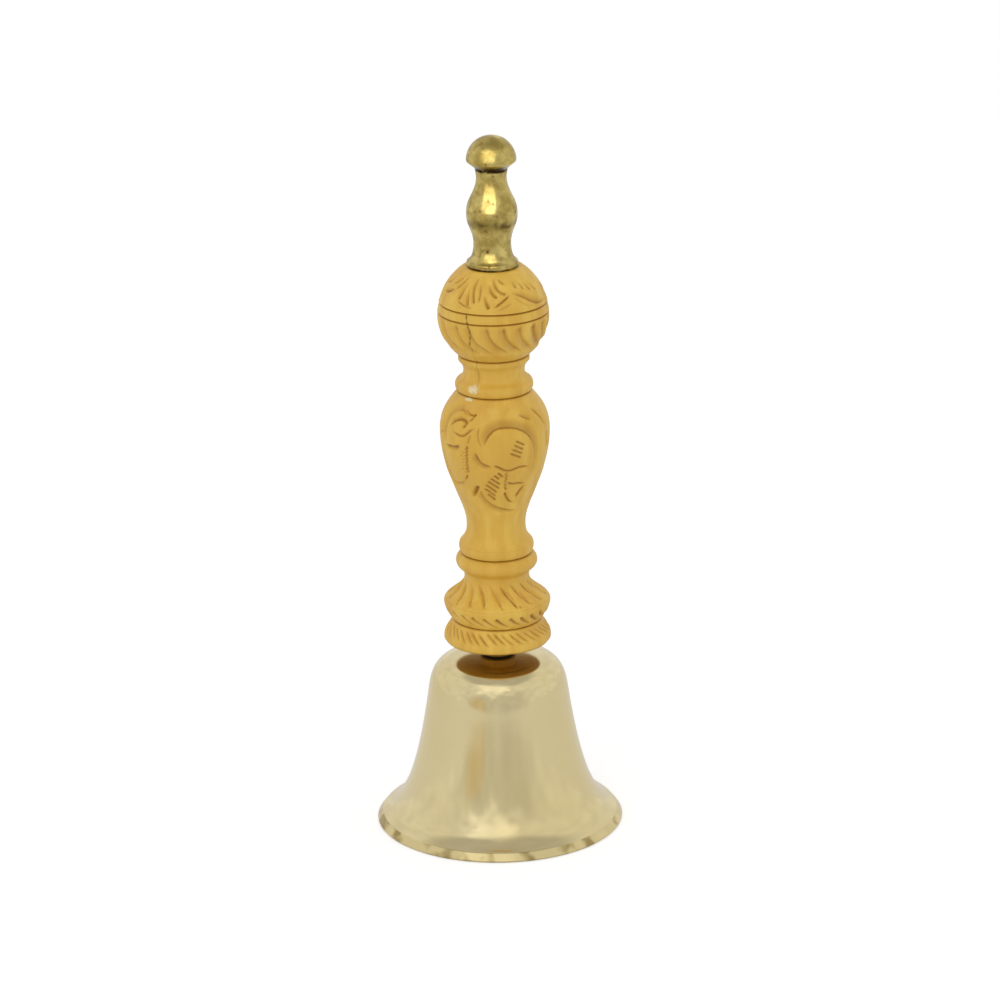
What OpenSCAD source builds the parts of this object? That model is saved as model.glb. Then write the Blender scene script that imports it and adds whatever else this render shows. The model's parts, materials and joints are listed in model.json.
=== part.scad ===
// Handbell: a cast bell clamped under a turned wooden handle by one long eye bolt,
// with a brass finial on top and a free clapper hung from the bolt's eye.
// +Z runs up the handle. The origin is the centre of the mouth, on the face the bell stands on.

/* [Bell] */
// Diameter of the mouth, across the lip
mouth_d = 70; // [64:1:84]
// Height of the bell from the mouth to the top of its crown
bell_h = 49.7; // [46:0.1:59]
// Diameter of the shoulder, where the crown turns into the side
shoulder_d = 39.8; // [36:0.1:46]
// Height of the shoulder above the mouth
shoulder_h = 38.6; // [35:0.1:42]
// Thickness of the wall
wall_t = 2.2; // [1.6:0.1:2.6]
// Extra thickness of the wall at the lip
lip_extra_t = 0.9; // [0.2:0.1:1.2]
// Width of the flat face of the lip, which the bell stands on
lip_face_w = 3; // [2:0.1:3.4]
// Height of the plain band round the lip
lip_band_h = 2.5; // [1.5:0.1:4]
// How far the band leans inwards over its height
lip_lean = 1.6; // [0.8:0.1:2.2]
// Diameter of the flat land on top of the crown
land_d = 10.4; // [10:0.1:14]
// Depth of the machined pad inside the crown
pad_depth = 0.6; // [0.3:0.1:1.5]

/* [Handle] */
// Diameter of the boss under the foot
boss_d = 10.4; // [8.6:0.1:14]
// Height of the boss
boss_h = 4.2; // [2:0.1:5]
// Height of the foot disc
foot_h = 6.5; // [5:0.1:9]
// Diameter of the foot disc
foot_d = 30.2; // [26:0.1:36]
// Diameter at the groove between the foot and the bowl
foot_groove_d = 25.4; // [22:0.1:25.8]
// Height of the bowl above the foot
bowl_h = 12.4; // [10:0.1:16]
// Diameter of the bowl
bowl_d = 30; // [26.4:0.1:36]
// Diameter of the neck above the bowl
bowl_neck_d = 18.2; // [16:0.1:21]
// Height of the ring above the bowl
ring_h = 7.1; // [6:0.1:9]
// Diameter of the ring
ring_d = 22.9; // [21.5:0.1:26]
// Height of the collar at the bottom of the vase
vase_foot_h = 8.3; // [6:0.1:11]
// Diameter of that collar
vase_foot_d = 21; // [20:0.1:24]
// Diameter of the waist of the vase
waist_d = 16.5; // [14:0.1:18]
// Height of the vase, from its waist to its top groove
vase_h = 39.3; // [32:0.1:48]
// Diameter of the vase
vase_d = 30.6; // [26:0.1:37]
// Height of the neck between the vase and the ball
neck_h = 10.4; // [8:0.1:14]
// Diameter of the bead at the bottom of the neck
bead_d = 22; // [21.4:0.1:26]
// Diameter of the hollow of the neck
neck_d = 17.2; // [15:0.1:18]
// Diameter of the flange under the ball
flange_d = 19.9; // [19:0.1:23]
// Height of the ball
ball_h = 25.1; // [22:0.1:30]
// Diameter of the ball
ball_d = 30.9; // [27:0.1:37]
// Diameter of the flat on top of the ball
ball_flat_d = 16.6; // [15.4:0.1:18]
// Height of the plain band round the ball
ball_band_h = 2.75; // [2:0.05:4]
// Width of the turned grooves
groove_w = 0.7; // [0.4:0.1:1]
// Depth of the turned grooves
groove_t = 0.55; // [0.3:0.05:0.8]

/* [Finial] */
// Height of the sleeve between the ball and the cap
sleeve_h = 27.7; // [23:0.1:34]
// Diameter of the sleeve's base flange
sleeve_base_d = 14.3; // [13:0.1:15.2]
// Thickness of the base flange at its edge
sleeve_base_t = 1.6; // [0.8:0.1:2.4]
// Diameter of the sleeve's waist
sleeve_waist_d = 10.4; // [9:0.1:12]
// Diameter of the sleeve's bulge
sleeve_bulge_d = 14.2; // [12.4:0.1:17]
// Diameter of the sleeve's neck
sleeve_neck_d = 8.4; // [7.6:0.1:9.4]
// Diameter of the domed cap
cap_d = 13.9; // [12:0.1:17]
// Height of the cap's underside cone
cap_under_h = 2.2; // [1.4:0.1:3]

/* [Fastening] */
// Thread diameter of the eye bolt
bolt_d = 5; // [4:0.1:5.4]
// Gap on the radius between the bolt and what is threaded on it
thread_gap = 0.05; // [0.03:0.01:0.1]
// Gap on the radius between the bolt and the holes that it passes through
hole_gap = 0.3; // [0.1:0.05:0.5]
// Width of the nuts across their flats
nut_af = 8; // [7.6:0.1:8.6]
// Diameter of the thin washer between the crown and the handle
seat_washer_d = 9.2; // [8.4:0.1:10]
// Thickness of the thin washer
seat_washer_t = 0.5; // [0.3:0.1:2]
// Height of the nut inside the crown
crown_nut_h = 4; // [3:0.1:5]
// Diameter of the washer inside the crown
washer_d = 13; // [11:0.1:15]
// Thickness of the washer
washer_t = 1; // [0.6:0.1:1.6]
// Length of the thread inside the cap
cap_thread_h = 4.8; // [3.5:0.1:6]

/* [Clapper] */
// Wire diameter of the bolt's eye
eye_wire_d = 2.2; // [1.8:0.1:2.6]
// Radius of the eye to the middle of its wire
eye_r = 2.7; // [2.5:0.1:3.4]
// Wire diameter of the link
link_wire_d = 1.8; // [1.4:0.1:2]
// Radius of the link to the middle of its wire
link_r = 3.5; // [3.3:0.1:4.2]
// Wire diameter of the shank and its eye
shank_d = 2; // [1.6:0.1:2.4]
// Radius of the shank's eye to the middle of its wire
shank_eye_r = 2.6; // [2.4:0.1:3]
// Gap between two wires that hang in one another
wire_gap = 0.05; // [0.03:0.01:0.1]
// Diameter of the clapper's ball
clapper_d = 15; // [12:0.1:16]
// Height of the clapper's ball above the mouth, to its centre
clapper_z = 11.6; // [10.5:0.1:14]
// Diameter of the riveted end under the ball
rivet_d = 4; // [3:0.1:5]
// Height of the riveted end
rivet_h = 0.9; // [0.5:0.1:1.4]

/* [Hidden] */
$fn = 96;

// Heights of the stack, from the mouth up
boss_z = bell_h + seat_washer_t;
handle_z = boss_z + boss_h;
bowl_z = handle_z + foot_h;
ring_z = bowl_z + bowl_h;
vase_foot_z = ring_z + ring_h;
vase_z = vase_foot_z + vase_foot_h;
neck_z = vase_z + vase_h;
ball_z = neck_z + neck_h;
sleeve_z = ball_z + ball_h;
cap_z = sleeve_z + sleeve_h;

// Heights of the stack, from the crown down
pad_z = bell_h - wall_t - pad_depth;
washer_z = pad_z - washer_t;
crown_nut_z = washer_z - crown_nut_h;
eye_z = crown_nut_z - eye_r - eye_wire_d / 2 - 0.3;
link_pivot_z = eye_z - eye_r;
link_z = link_pivot_z + eye_wire_d / 2 + wire_gap + link_wire_d / 2 - link_r;
shank_pivot_z = link_z - link_r;
shank_eye_z = shank_pivot_z + link_wire_d / 2 + wire_gap + shank_d / 2 - shank_eye_r;

bolt_r = bolt_d / 2;
hole_r = bolt_r + hole_gap;
thread_r = bolt_r + thread_gap;
pad_r = washer_d / 2 + 0.6;
curve_steps = 14;

// Points of a cubic curve from a to b, pulled towards p and q
function curve(a, p, q, b, n = curve_steps) =
    [for (i = [0:n]) let (t = i / n, s = 1 - t)
        s * s * s * a + 3 * s * s * t * p + 3 * s * t * t * q + t * t * t * b];

// A curve between two radii that leaves and arrives parallel to the axis
function swell(r0, z0, r1, z1, leave = 0.45, arrive = 0.45, n = curve_steps) =
    curve([r0, z0], [r0, z0 + leave * (z1 - z0)], [r1, z1 - arrive * (z1 - z0)], [r1, z1], n);

// Points of an elliptical arc about [r, z]
function arc(r, z, rx, rz, a0, a1, n = curve_steps) =
    [for (i = [0:n]) let (a = a0 + (a1 - a0) * i / n) [r + rx * cos(a), z + rz * sin(a)]];

// A vee cut into an outline at radius r and height z
function groove(r, z) = [[r, z - groove_w / 2], [r - groove_t, z], [r, z + groove_w / 2]];

// The outline moved inwards by wall_t, and by more towards the lip
function wall_at(z) = wall_t + lip_extra_t * max(0, 1 - z / (shoulder_h / 2));
function inset(pts) =
    [for (i = [1:len(pts) - 2]) let (d = pts[i + 1] - pts[i - 1], t = wall_at(pts[i][1]))
        pts[i] + t * [-d[1], d[0]] / norm(d)];

// Outside of the bell, from the top of the lip band to the land on the crown
flare = curve([mouth_d / 2 - lip_lean, lip_band_h],
              [mouth_d * 0.382, lip_band_h + 2.7],
              [shoulder_d * 0.585, shoulder_h * 0.41],
              [shoulder_d / 2, shoulder_h], 26);
crown = curve([shoulder_d / 2, shoulder_h],
              [shoulder_d / 2 - 0.7, shoulder_h + 0.8 * (bell_h - shoulder_h)],
              [shoulder_d * 0.4, bell_h],
              [land_d / 2, bell_h], 18);
outside = concat(flare, [for (i = [1:len(crown) - 1]) crown[i]]);
lip_edge = 0.5;
lip_inner_r = mouth_d / 2 - lip_edge - lip_face_w;
inside = [for (p = inset(outside))
    if (p[0] > pad_r + 0.3 && p[0] < lip_inner_r - 0.5 && p[1] > 0.8) p];

module bell_shell() {
    color("#d9cf9f")
    rotate_extrude()
    polygon(concat(
        [[lip_inner_r, 0], [mouth_d / 2 - lip_edge, 0], [mouth_d / 2, lip_edge]],
        outside,
        [[hole_r, bell_h], [hole_r, pad_z], [pad_r, pad_z]],
        [for (i = [1:len(inside)]) inside[len(inside) - i]]));
}

// A hexagon nut with both rims chamfered
module hex_nut(h, z) {
    corner_r = nut_af / sqrt(3);
    chamfer = corner_r - nut_af / 2;
    translate([0, 0, z])
    difference() {
        intersection() {
            cylinder(h = h, r = corner_r, $fn = 6);
            rotate_extrude()
            polygon([[0, 0], [nut_af / 2, 0], [corner_r + 0.01, chamfer * 0.6],
                     [corner_r + 0.01, h - chamfer * 0.6], [nut_af / 2, h], [0, h]]);
        }
        translate([0, 0, -1])
        cylinder(h = h + 2, r = thread_r);
    }
}

module seat_washer() {
    color("#3a3632")
    translate([0, 0, bell_h])
    difference() {
        cylinder(h = seat_washer_t, r = seat_washer_d / 2);
        translate([0, 0, -1])
        cylinder(h = seat_washer_t + 2, r = hole_r);
    }
}

module crown_nut() {
    color("#b9b6ae")
    hex_nut(crown_nut_h, crown_nut_z);
}

module crown_washer() {
    color("#b9b6ae")
    translate([0, 0, washer_z])
    difference() {
        cylinder(h = washer_t, r = washer_d / 2);
        translate([0, 0, -1])
        cylinder(h = washer_t + 2, r = hole_r);
    }
}

// Outlines of the turned lengths of the handle, from the bottom up
boss_r = boss_d / 2;
boss_edge = 0.4;
foot_r = foot_d / 2;
foot_outline = concat(
    [[hole_r, boss_z], [boss_r - boss_edge, boss_z], [boss_r, boss_z + boss_edge], [boss_r, handle_z],
     [foot_r - 0.5, handle_z], [foot_r, handle_z + 0.7]],
    curve([foot_r, handle_z + 1.3],
          [foot_r - 0.1, handle_z + 2.9],
          [foot_groove_d / 2 + 1.3, handle_z + 3.8],
          [foot_groove_d / 2, bowl_z - groove_w / 2]));
bowl_max_z = bowl_z + 0.42 * bowl_h;
bowl_outline = concat(
    [[foot_groove_d / 2 - groove_t, bowl_z]],
    curve([foot_groove_d / 2, bowl_z + groove_w / 2],
          [foot_groove_d / 2 + 1.1, bowl_z + 1.6],
          [bowl_d / 2, bowl_max_z - 1.9],
          [bowl_d / 2, bowl_max_z]),
    curve([bowl_d / 2 - 0.01, bowl_max_z + 0.1],
          [bowl_d / 2 - 0.1, bowl_max_z + 1.9],
          [bowl_neck_d / 2 + 0.2, ring_z - 3.5],
          [bowl_neck_d / 2, ring_z]));
ring_round = 2.5;
ring_mid_z = ring_z + 0.66 * ring_h;
ring_outline = concat(
    [[bowl_neck_d / 2 + 0.1, ring_z + 0.22 * ring_h]],
    arc(ring_d / 2 - ring_round, ring_mid_z, ring_round, ring_round, -56, 52),
    [[vase_foot_d / 2 - groove_t - 0.4, vase_foot_z]]);
vase_foot_outline = concat(
    curve([vase_foot_d / 2 - 0.4, vase_foot_z + groove_w / 2],
          [vase_foot_d / 2, vase_foot_z + 1.2],
          [vase_foot_d / 2 + 0.1, vase_foot_z + 2.2],
          [vase_foot_d / 2 - 0.1, vase_foot_z + 3]),
    curve([vase_foot_d / 2 - 0.3, vase_foot_z + 3.4],
          [vase_foot_d / 2 - 1.2, vase_foot_z + 4.6],
          [waist_d / 2, vase_z - 3],
          [waist_d / 2, vase_z]));
vase_max_z = vase_z + 0.71 * vase_h;
vase_outline = concat(
    swell(waist_d / 2, vase_z + 0.2, vase_d / 2, vase_max_z, 0.24, 0.46, 24),
    curve([vase_d / 2, vase_max_z + 0.2],
          [vase_d / 2, vase_max_z + 5.2],
          [bead_d / 2 + 2.2, neck_z - 3.4],
          [bead_d / 2 - 0.5, neck_z - groove_w / 2]));
neck_outline = concat(
    [[bead_d / 2 - 0.5 - groove_t, neck_z]],
    curve([bead_d / 2 - 0.5, neck_z + groove_w / 2],
          [bead_d / 2 + 0.1, neck_z + 1.2],
          [bead_d / 2 + 0.2, neck_z + 2.9],
          [bead_d / 2 - 1.2, neck_z + 3.5]),
    curve([bead_d / 2 - 1.4, neck_z + 3.7],
          [neck_d / 2 - 0.4, neck_z + 4.5],
          [neck_d / 2 - 0.3, neck_z + 7],
          [flange_d / 2 - 0.6, ball_z - 2.2]),
    [[flange_d / 2, ball_z - 1.5], [flange_d / 2, ball_z - groove_w / 2]]);

// The ball is two half ellipses, cut off where the neck and the finial meet it
ball_r = ball_d / 2;
ball_max_z = ball_z + 0.445 * ball_h;
ball_low_r = flange_d / 2 + 0.1;
ball_low_rz = (ball_max_z - ball_z - groove_w / 2) / sqrt(1 - pow(ball_low_r / ball_r, 2));
ball_top_rz = (sleeve_z - ball_max_z) / sqrt(1 - pow(ball_flat_d / ball_d, 2));
band_z = ball_max_z + 0.1 * ball_h;
function ball_r_at(z) =
    ball_r * sqrt(1 - pow((z - ball_max_z) / (z < ball_max_z ? ball_low_rz : ball_top_rz), 2));
function ball_angle(z) =
    asin((z - ball_max_z) / (z < ball_max_z ? ball_low_rz : ball_top_rz));
ball_outline = concat(
    [[flange_d / 2 - groove_t, ball_z]],
    arc(0, ball_max_z, ball_r, ball_low_rz, ball_angle(ball_z + groove_w / 2), 0, 18),
    groove(ball_r_at(band_z - ball_band_h / 2), band_z - ball_band_h / 2),
    groove(ball_r_at(band_z + ball_band_h / 2), band_z + ball_band_h / 2),
    arc(0, ball_max_z, ball_r, ball_top_rz,
        ball_angle(band_z + ball_band_h / 2 + groove_w), ball_angle(sleeve_z), 18));

module handle() {
    color("#d2a544")
    rotate_extrude()
    polygon(concat(foot_outline, bowl_outline, ring_outline, vase_foot_outline,
                   vase_outline, neck_outline, ball_outline, [[hole_r, sleeve_z]]));
}

module finial_sleeve() {
    bulge_z = sleeve_z + 0.545 * sleeve_h;
    waist_z = sleeve_z + 0.23 * sleeve_h;
    neck_top_z = cap_z - 2.2;
    base_r = sleeve_base_d / 2;
    color("#c3a35a")
    rotate_extrude()
    polygon(concat(
        [[hole_r, sleeve_z], [base_r - 0.2, sleeve_z], [base_r, sleeve_z + 0.2]],
        curve([base_r, sleeve_z + sleeve_base_t],
              [base_r - 1.3, sleeve_z + sleeve_base_t + 0.5],
              [sleeve_waist_d / 2, waist_z - 2.6],
              [sleeve_waist_d / 2, waist_z]),
        swell(sleeve_waist_d / 2, waist_z + 0.2, sleeve_bulge_d / 2, bulge_z),
        swell(sleeve_bulge_d / 2, bulge_z + 0.2, sleeve_neck_d / 2, neck_top_z, 0.4),
        [[sleeve_neck_d / 2 + 0.3, cap_z - 0.2], [sleeve_neck_d / 2 + 0.1, cap_z],
         [hole_r, cap_z]]));
}

module finial_cap() {
    cap_r = cap_d / 2;
    color("#c3a35a")
    difference() {
        rotate_extrude()
        polygon(concat(
            [[0, cap_z], [sleeve_neck_d / 2 + 0.4, cap_z], [sleeve_neck_d / 2 + 0.6, cap_z + 0.4],
             [cap_r - 0.3, cap_z + cap_under_h - 0.3]],
            arc(0, cap_z + cap_under_h, cap_r, cap_r, 0, 90, 24)));
        translate([0, 0, cap_z - 1])
        cylinder(h = cap_thread_h + 1.5, r = thread_r);
    }
}

// A ring of round wire about the Y axis, centred at height z
module wire_ring(r, wire_d, z) {
    translate([0, 0, z])
    rotate([90, 0, 0])
    rotate_extrude()
    translate([r, 0])
    circle(d = wire_d);
}

module eye_bolt() {
    shank_z = eye_z + eye_r;
    color("#a9a69e") {
        wire_ring(eye_r, eye_wire_d, eye_z);
        translate([0, 0, shank_z])
        cylinder(h = cap_z + cap_thread_h - shank_z, r = bolt_r);
    }
}

module clapper_link() {
    color("#a9a69e")
    rotate([0, 0, 90])
    wire_ring(link_r, link_wire_d, link_z);
}

module clapper_shank() {
    shank_top_z = shank_eye_z - shank_eye_r;
    rivet_z = clapper_z - clapper_d / 2;
    color("#c9b27a") {
        wire_ring(shank_eye_r, shank_d, shank_eye_z);
        translate([0, 0, rivet_z])
        cylinder(h = shank_top_z - rivet_z, r = shank_d / 2);
        translate([0, 0, rivet_z - rivet_h + 0.2])
        cylinder(h = rivet_h, d1 = rivet_d * 0.6, d2 = rivet_d);
    }
}

module clapper_ball() {
    flat_z = clapper_z - clapper_d / 2 + 0.2;
    color("#c9b27a")
    difference() {
        translate([0, 0, clapper_z])
        sphere(d = clapper_d);
        translate([0, 0, flat_z - 2])
        cylinder(h = 2, r = rivet_d);
        cylinder(h = clapper_z + clapper_d, r = shank_d / 2 + thread_gap);
    }
}

bell_shell();
seat_washer();
handle();
finial_sleeve();
finial_cap();
eye_bolt();
crown_washer();
crown_nut();
clapper_link();
clapper_shank();
clapper_ball();
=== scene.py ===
import json
from math import pi, radians

import bpy
import bmesh
import numpy as np
from mathutils import Matrix, Vector


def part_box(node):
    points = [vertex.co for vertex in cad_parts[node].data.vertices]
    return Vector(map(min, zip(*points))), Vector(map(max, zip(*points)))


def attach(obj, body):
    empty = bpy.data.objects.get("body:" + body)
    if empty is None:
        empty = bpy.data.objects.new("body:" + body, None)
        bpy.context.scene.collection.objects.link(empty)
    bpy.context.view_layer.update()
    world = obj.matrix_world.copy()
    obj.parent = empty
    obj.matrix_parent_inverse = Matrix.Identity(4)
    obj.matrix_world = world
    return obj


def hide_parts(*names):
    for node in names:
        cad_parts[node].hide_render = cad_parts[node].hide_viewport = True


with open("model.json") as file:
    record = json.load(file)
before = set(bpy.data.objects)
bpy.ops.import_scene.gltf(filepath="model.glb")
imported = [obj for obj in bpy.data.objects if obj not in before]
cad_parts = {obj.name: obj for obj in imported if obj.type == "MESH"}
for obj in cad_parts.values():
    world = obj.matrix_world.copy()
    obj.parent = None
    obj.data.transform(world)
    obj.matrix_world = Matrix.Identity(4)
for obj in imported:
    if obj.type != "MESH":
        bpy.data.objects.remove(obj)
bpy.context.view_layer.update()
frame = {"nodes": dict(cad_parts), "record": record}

scene = bpy.context.scene
mm = 0.001


# numbers and lines

def linearColour(hexText):
    # sRGB hex to linear light: c / 12.92 below 0.04045, else ((c + 0.055) / 1.055) ^ 2.4
    c = np.array([int(hexText[i:i + 2], 16) for i in (1, 3, 5)]) / 255
    c = np.where(c < 0.04045, c / 12.92, ((c + 0.055) / 1.055) ** 2.4)
    return (*c.tolist(), 1.0)


def smoothThrough(points, spacing):
    # natural cubic spline over the length of the chords, sampled at even lengths:
    # on each span the curve is the straight line plus the two end bends times (a^3 - a) and (b^3 - b)
    points = np.asarray(points, float)
    chord = np.hypot(*np.diff(points, axis=0).T)
    t = np.concatenate([[0], np.cumsum(chord)])
    count = max(int(np.ceil(t[-1] / spacing)), 1)
    at = np.linspace(0, t[-1], count + 1)
    if len(points) < 3:
        return np.column_stack([np.interp(at, t, points[:, k]) for k in (0, 1)])
    n = len(points)
    system = np.eye(n)
    pull = np.zeros((n, 2))
    i = np.arange(1, n - 1)
    system[i, i - 1] = chord[:-1] / 6
    system[i, i] = (chord[:-1] + chord[1:]) / 3
    system[i, i + 1] = chord[1:] / 6
    slope = np.diff(points, axis=0) / chord[:, None]
    pull[1:-1] = slope[1:] - slope[:-1]
    bend = np.linalg.solve(system, pull)
    span = np.clip(np.searchsorted(t, at, side="right") - 1, 0, n - 2)
    h = chord[span][:, None]
    b = (at - t[span])[:, None] / h
    a = 1 - b
    return (a * points[span] + b * points[span + 1]
            + ((a ** 3 - a) * bend[span] + (b ** 3 - b) * bend[span + 1]) * h ** 2 / 6)


def turns(path, closed=True):
    # the angle in degrees by which the path turns at each of its points, left turns positive
    back = path - np.roll(path, 1, axis=0)
    ahead = np.roll(path, -1, axis=0) - path
    angle = np.arctan2(back[:, 0] * ahead[:, 1] - back[:, 1] * ahead[:, 0], (back * ahead).sum(axis=1))
    if not closed:
        angle[[0, -1]] = 0
    return np.degrees(angle)


# outlines of the turned parts, read from the frame

outlines = {
    "sameRing": 2,           # decimals of a mm to which two vertices are on one ring
    "closest": 0.03,         # mm, rings nearer than this are one
    "cornerTurn": 24,        # degrees, an outline that turns more has a crisp corner there
    "ease": 0.3,             # mm by which the corners of turned metal are rubbed round
    "crisp": 35,             # degrees between faces above which turned metal is creased
}


def readOutline(node):
    # a turned node's outline as (radius, height) in mm: each ring of its mesh is a point, an edge
    # between two rings joins two points, and the walk along the edges puts them in order
    mesh = frame["nodes"][node].data
    co = np.empty(len(mesh.vertices) * 3)
    mesh.vertices.foreach_get("co", co)
    co = co.reshape(-1, 3) / mm
    place = np.column_stack([np.hypot(co[:, 0], co[:, 1]), co[:, 2]])
    ring, which = np.unique(np.round(place, outlines["sameRing"]), axis=0, return_inverse=True)
    which = which.ravel()
    members = np.bincount(which)
    ring = np.column_stack([np.bincount(which, place[:, k]) / members for k in (0, 1)])
    edges = np.empty(len(mesh.edges) * 2, int)
    mesh.edges.foreach_get("vertices", edges)
    joined = {k: set() for k in range(len(ring))}
    for a, b in np.unique(which[edges.reshape(-1, 2)], axis=0).tolist():
        joined[a].add(b)
        joined[b].add(a)
    walk = [0]
    while True:
        onward = sorted(joined[walk[-1]] - set(walk), key=lambda k: np.hypot(*(ring[k] - ring[walk[-1]])))
        if not onward:
            break
        walk.append(onward[0])
    loop = ring[walk]
    keep = np.hypot(*(loop - np.roll(loop, 1, axis=0)).T) > outlines["closest"]
    loop = loop[keep]
    area = (loop[:, 0] * np.roll(loop[:, 1], -1) - np.roll(loop[:, 0], -1) * loop[:, 1]).sum()
    return loop if area > 0 else loop[::-1]


def refined(path, spacing, closed=True, calm=0):
    # the path with a smooth curve between its corners, sampled every spacing mm. each corner C is rubbed
    # round to the curve (1 - t)^2 A + 2 t (1 - t) C + t^2 B between the points A and B on either side of it,
    # after the points between corners have moved calm times to a quarter, a half and a quarter of their row
    if closed:
        first = int(np.argmax(np.abs(turns(path))))
        path = np.roll(path, -first, axis=0)
        path = np.vstack([path, path[:1]])
    corner = np.abs(turns(path, closed=False)) > outlines["cornerTurn"]
    corner[[0, -1]] = True
    stops = np.flatnonzero(corner)
    runs = []
    for a, b in zip(stops[:-1], stops[1:]):
        run = path[a:b + 1].copy()
        for _ in range(calm):
            run[1:-1] = 0.25 * run[:-2] + 0.5 * run[1:-1] + 0.25 * run[2:]
        run = smoothThrough(run, spacing)
        s = np.concatenate([[0], np.cumsum(np.hypot(*np.diff(run, axis=0).T))])
        back = min(outlines["ease"], s[-1] / 3)
        start = back if closed or a > 0 else 0
        end = s[-1] - (back if closed or b < len(path) - 1 else 0)
        at = np.concatenate([[start], s[(s > start + 0.02) & (s < end - 0.02)], [end]])
        runs.append(np.column_stack([np.interp(at, s, run[:, k]) for k in (0, 1)]))
    t = np.array([0.25, 0.5, 0.75])[:, None]
    pieces = []
    for k, run in enumerate(runs):
        pieces.append(run)
        if closed or k < len(runs) - 1:
            tip, ahead = path[stops[k + 1]], runs[(k + 1) % len(runs)][0]
            pieces.append((1 - t) ** 2 * run[-1] + 2 * t * (1 - t) * tip + t ** 2 * ahead)
    return np.vstack(pieces)


# meshes

def gridFaces(rows, columns, closedRows):
    # quads between neighbouring rows and columns; the columns always close on themselves
    r = np.arange(rows if closedRows else rows - 1)[:, None]
    c = np.arange(columns)[None, :]
    up = (r + 1) % rows
    right = (c + 1) % columns
    corners = [r * columns + c, r * columns + right, up * columns + right, up * columns + c]
    return np.stack(corners, axis=-1).reshape(-1, 4)


def meshFrom(name, points, faces, crisp, attributes):
    # a smooth shaded mesh from arrays in mm, creased where its faces meet at more than crisp degrees
    mesh = bpy.data.meshes.new(name)
    mesh.vertices.add(len(points))
    mesh.vertices.foreach_set("co", (points * mm).ravel())
    mesh.loops.add(faces.size)
    mesh.loops.foreach_set("vertex_index", faces.ravel())
    mesh.polygons.add(len(faces))
    mesh.polygons.foreach_set("loop_start", np.arange(len(faces)) * faces.shape[1])
    mesh.update(calc_edges=True)
    for key, values in attributes.items():
        mesh.attributes.new(key, "FLOAT", "POINT").data.foreach_set("value", values.ravel().astype(float))
    joined = bmesh.new()
    joined.from_mesh(mesh)
    bmesh.ops.remove_doubles(joined, verts=joined.verts, dist=1e-7)   # closes the poles
    joined.to_mesh(mesh)
    joined.free()
    mesh.polygons.foreach_set("use_smooth", np.ones(len(mesh.polygons), bool))
    mesh.set_sharp_from_angle(angle=radians(crisp))
    mesh.validate()
    piece = bpy.data.objects.new(name, mesh)
    scene.collection.objects.link(piece)
    return piece


def turnedPiece(name, path, columns, closed, attributes):
    # surface of revolution: (r sin a, -r cos a, z), with the angle a from the front, to the right
    a = np.linspace(0, 2 * pi, columns, endpoint=False)
    r = path[:, :1]
    points = np.stack([r * np.sin(a), -r * np.cos(a), path[:, 1:] + 0 * a], axis=-1).reshape(-1, 3)
    shared = {key: np.repeat(values, columns) for key, values in attributes.items()}
    return meshFrom(name, points, gridFaces(len(path), columns, closed), outlines["crisp"], shared)


# carving

carving = {
    "row": 0.22,             # mm between rows where the wood is carved
    "plainRow": 0.45,        # mm between rows elsewhere
    "columns": 400,          # round the handle
    "step": 0.15,            # mm between the places along a cut
    "crisp": 80,             # degrees
    "crease": 1.0,           # mm, the size below which a hollow is darkened by painted shade and by its dirt and wax
    "creaseDepth": 0.33,     # mm of hollow at which the painted shade and dirt are full
    "floorDepth": 0.9,       # mm of cut at which the painted shade of its floor is as dark as floors get
    "floorShadeAndDirt": 0.38,       # and how dark that is, from 0 to 1
    "lineWidth": 0.5,        # mm of painted shade on either side of a turned line
    "narrowest": 0.4,        # width of a cut at its ends, against its middle
    "fadePower": 0.7,        # below 1, a cut ends bluntly
    "waves": ((0.035, 3, 0.31), (0.025, 7, -0.5)),   # unevenness: mm, waves round, radians per mm of height
}


def wrapped(angle):
    # the same angle between -180 and 180 degrees
    return (angle + 180) % 360 - 180


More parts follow.
